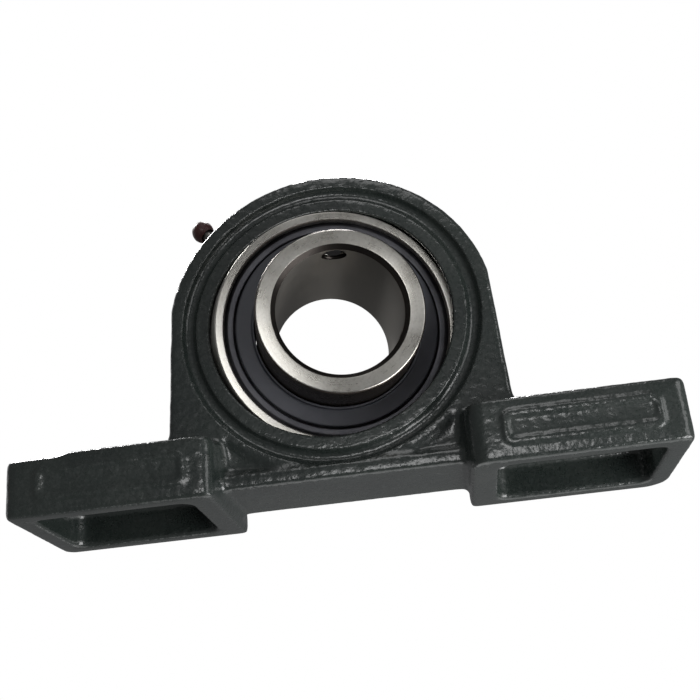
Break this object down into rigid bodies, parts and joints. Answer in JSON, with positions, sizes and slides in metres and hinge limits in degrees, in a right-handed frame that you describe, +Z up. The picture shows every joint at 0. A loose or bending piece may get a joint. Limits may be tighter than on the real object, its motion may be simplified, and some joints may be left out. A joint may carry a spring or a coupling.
{
  "type": "mounted ball bearing",
  "caption": "Two-bolt cast pillow block holding a self-aligning sealed ball bearing insert, with set screws for the shaft and a capped grease nipple.",
  "frame": {"origin": "on the plane that the feet stand on, below the middle of the object's box", "axes": "+Z up, X along the base from bolt slot to bolt slot, -Y to the front, the side of the set screws"},
  "size_m": [0.154, 0.0458, 0.0829],
  "materials": {
    "painted_casting": "dark grey-green gloss paint over a rough sand casting",
    "ring_steel": "ground bearing steel with fine circular marks",
    "ball_steel": "polished bearing steel",
    "cage_steel": "pressed sheet steel",
    "seal_steel": "pressed sheet steel, dull grey",
    "seal_rubber": "black seal rubber",
    "flinger_steel": "blue-grey coated pressed steel",
    "screw_steel": "black oxide",
    "nipple_steel": "zinc plate, dulled",
    "spring_steel": "drawn wire",
    "cap_plastic": "red-brown moulded plastic"
  },
  "bodies": {
    "housing": {"housing": "painted_casting", "grease_nipple": "nipple_steel"},
    "insert": {"outer_ring": "ring_steel", "seal_carrier_front": "seal_steel", "seal_carrier_rear": "seal_steel", "seal_lip_front": "seal_rubber", "seal_lip_rear": "seal_rubber"},
    "inner_ring_assembly": {"inner_ring": "ring_steel", "flinger_front": "flinger_steel", "flinger_rear": "flinger_steel"},
    "cage": {"cage_front": "cage_steel", "cage_rear": "cage_steel", "cage_rivet_1": "cage_steel", "cage_rivet_2": "cage_steel", "cage_rivet_3": "cage_steel", "cage_rivet_4": "cage_steel", "cage_rivet_5": "cage_steel", "cage_rivet_6": "cage_steel", "cage_rivet_7": "cage_steel", "cage_rivet_8": "cage_steel", "cage_rivet_9": "cage_steel"},
    "ball_1": {"ball_1": "ball_steel"},
    "ball_2": {"ball_2": "ball_steel"},
    "ball_3": {"ball_3": "ball_steel"},
    "ball_4": {"ball_4": "ball_steel"},
    "ball_5": {"ball_5": "ball_steel"},
    "ball_6": {"ball_6": "ball_steel"},
    "ball_7": {"ball_7": "ball_steel"},
    "ball_8": {"ball_8": "ball_steel"},
    "ball_9": {"ball_9": "ball_steel"},
    "set_screw_top": {"set_screw_top": "screw_steel"},
    "set_screw_side": {"set_screw_side": "screw_steel"},
    "nipple_valve": {"nipple_check_ball": "ball_steel", "nipple_spring": "spring_steel"},
    "nipple_cap": {"nipple_cap": "cap_plastic"}
  },
  "joints": [
    {"name": "insert_swivel", "type": "hinge", "parent": "housing", "child": "insert", "pos_m": [0, 0.00307, 0.0429], "axis": [0.6428, 0, 0.766], "range_deg": [-28, 2]},
    {"name": "inner_ring_spin", "type": "hinge", "parent": "insert", "child": "inner_ring_assembly", "pos_m": [0, 0.00307, 0.0429], "axis": [0.1723, -0.9744, -0.1446], "continuous": true},
    {"name": "cage_spin", "type": "hinge", "parent": "insert", "child": "cage", "pos_m": [0, 0.00307, 0.0429], "axis": [0.1723, -0.9744, -0.1446], "continuous": true},
    {"name": "ball_1_spin", "type": "hinge", "parent": "cage", "child": "ball_1", "pos_m": [0.02265, 0.00703, 0.04319], "axis": [0.1723, -0.9744, -0.1446], "continuous": true},
    {"name": "ball_2_spin", "type": "hinge", "parent": "cage", "child": "ball_2", "pos_m": [0.01754, 0.00397, 0.05775], "axis": [0.1723, -0.9744, -0.1446], "continuous": true},
    {"name": "ball_3_spin", "type": "hinge", "parent": "cage", "child": "ball_3", "pos_m": [0.00422, 0.00048, 0.06536], "axis": [0.1723, -0.9744, -0.1446], "continuous": true},
    {"name": "ball_4_spin", "type": "hinge", "parent": "cage", "child": "ball_4", "pos_m": [-0.01108, -0.00179, 0.06246], "axis": [0.1723, -0.9744, -0.1446], "continuous": true},
    {"name": "ball_5_spin", "type": "hinge", "parent": "cage", "child": "ball_5", "pos_m": [-0.02119, -0.00179, 0.05041], "axis": [0.1723, -0.9744, -0.1446], "continuous": true},
    {"name": "ball_6_spin", "type": "hinge", "parent": "cage", "child": "ball_6", "pos_m": [-0.02139, 0.00048, 0.03484], "axis": [0.1723, -0.9744, -0.1446], "continuous": true},
    {"name": "ball_7_spin", "type": "hinge", "parent": "cage", "child": "ball_7", "pos_m": [-0.01158, 0.00397, 0.02305], "axis": [0.1723, -0.9744, -0.1446], "continuous": true},
    {"name": "ball_8_spin", "type": "hinge", "parent": "cage", "child": "ball_8", "pos_m": [0.00365, 0.00703, 0.02054], "axis": [0.1723, -0.9744, -0.1446], "continuous": true},
    {"name": "ball_9_spin", "type": "hinge", "parent": "cage", "child": "ball_9", "pos_m": [0.01717, 0.00824, 0.02849], "axis": [0.1723, -0.9744, -0.1446], "continuous": true},
    {"name": "set_screw_top_travel", "type": "slide", "parent": "inner_ring_assembly", "child": "set_screw_top", "axis": [-0.0126, 0.1446, -0.9894], "range_m": [-0.0055, 0.0015]},
    {"name": "set_screw_side_travel", "type": "slide", "parent": "inner_ring_assembly", "child": "set_screw_side", "axis": [-0.8467, -0.2215, 0.4838], "range_m": [-0.0055, 0.0015]},
    {"name": "nipple_valve_press", "type": "slide", "parent": "housing", "child": "nipple_valve", "axis": [0.6794, 0, -0.7337], "range_m": [0, 0.0008], "stiffness_N_per_m": 300, "springref_m": -0.001},
    {"name": "nipple_cap_pull", "type": "slide", "parent": "housing", "child": "nipple_cap", "axis": [-0.6794, 0, 0.7337], "range_m": [0, 0.008]}
  ],
  "couplings": [
    {"joint": "cage_spin", "follows": "inner_ring_spin", "ratio": 0.39647},
    {"joint": "ball_1_spin", "follows": "inner_ring_spin", "ratio": -2.3112},
    {"joint": "ball_2_spin", "follows": "inner_ring_spin", "ratio": -2.3112},
    {"joint": "ball_3_spin", "follows": "inner_ring_spin", "ratio": -2.3112},
    {"joint": "ball_4_spin", "follows": "inner_ring_spin", "ratio": -2.3112},
    {"joint": "ball_5_spin", "follows": "inner_ring_spin", "ratio": -2.3112},
    {"joint": "ball_6_spin", "follows": "inner_ring_spin", "ratio": -2.3112},
    {"joint": "ball_7_spin", "follows": "inner_ring_spin", "ratio": -2.3112},
    {"joint": "ball_8_spin", "follows": "inner_ring_spin", "ratio": -2.3112},
    {"joint": "ball_9_spin", "follows": "inner_ring_spin", "ratio": -2.3112}
  ]
}
